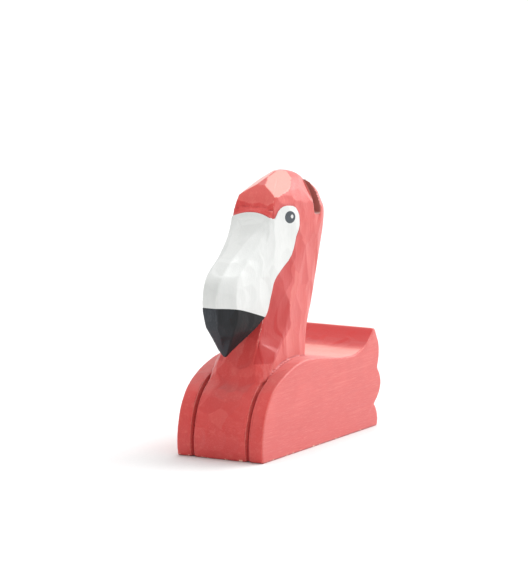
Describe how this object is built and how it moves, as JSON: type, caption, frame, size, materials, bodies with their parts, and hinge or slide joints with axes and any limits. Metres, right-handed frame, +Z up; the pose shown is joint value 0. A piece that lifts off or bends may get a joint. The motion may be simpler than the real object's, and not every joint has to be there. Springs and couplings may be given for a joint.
{
  "type": "eyeglasses display stand",
  "caption": "Free-standing carved and painted wooden flamingo bust that holds a pair of glasses, with a slot through the head for the folded temples.",
  "frame": {"origin": "centre of the flat base, on the surface it stands on", "axes": "+Z up, the bird faces -Y, +X is the bird's left side"},
  "size_m": [0.05, 0.1361, 0.1404],
  "materials": {
    "coral_paint": "satin paint on carved wood",
    "white_paint": "satin paint on carved wood",
    "black_paint": "satin paint on carved wood",
    "bare_wood": "bare"
  },
  "bodies": {
    "root": {"body_core": "coral_paint", "left_wing": "coral_paint", "right_wing": "coral_paint", "neck_and_head": "coral_paint", "bill": "white_paint", "bill_tip": "black_paint", "left_face_patch": "white_paint", "right_face_patch": "white_paint", "left_pupil": "black_paint", "right_pupil": "black_paint", "left_catchlight": "white_paint", "right_catchlight": "white_paint", "neck_dowels": "bare_wood", "left_wing_dowels": "bare_wood", "right_wing_dowels": "bare_wood", "bill_dowel": "bare_wood", "tip_dowel": "bare_wood"}
  },
  "joints": []
}
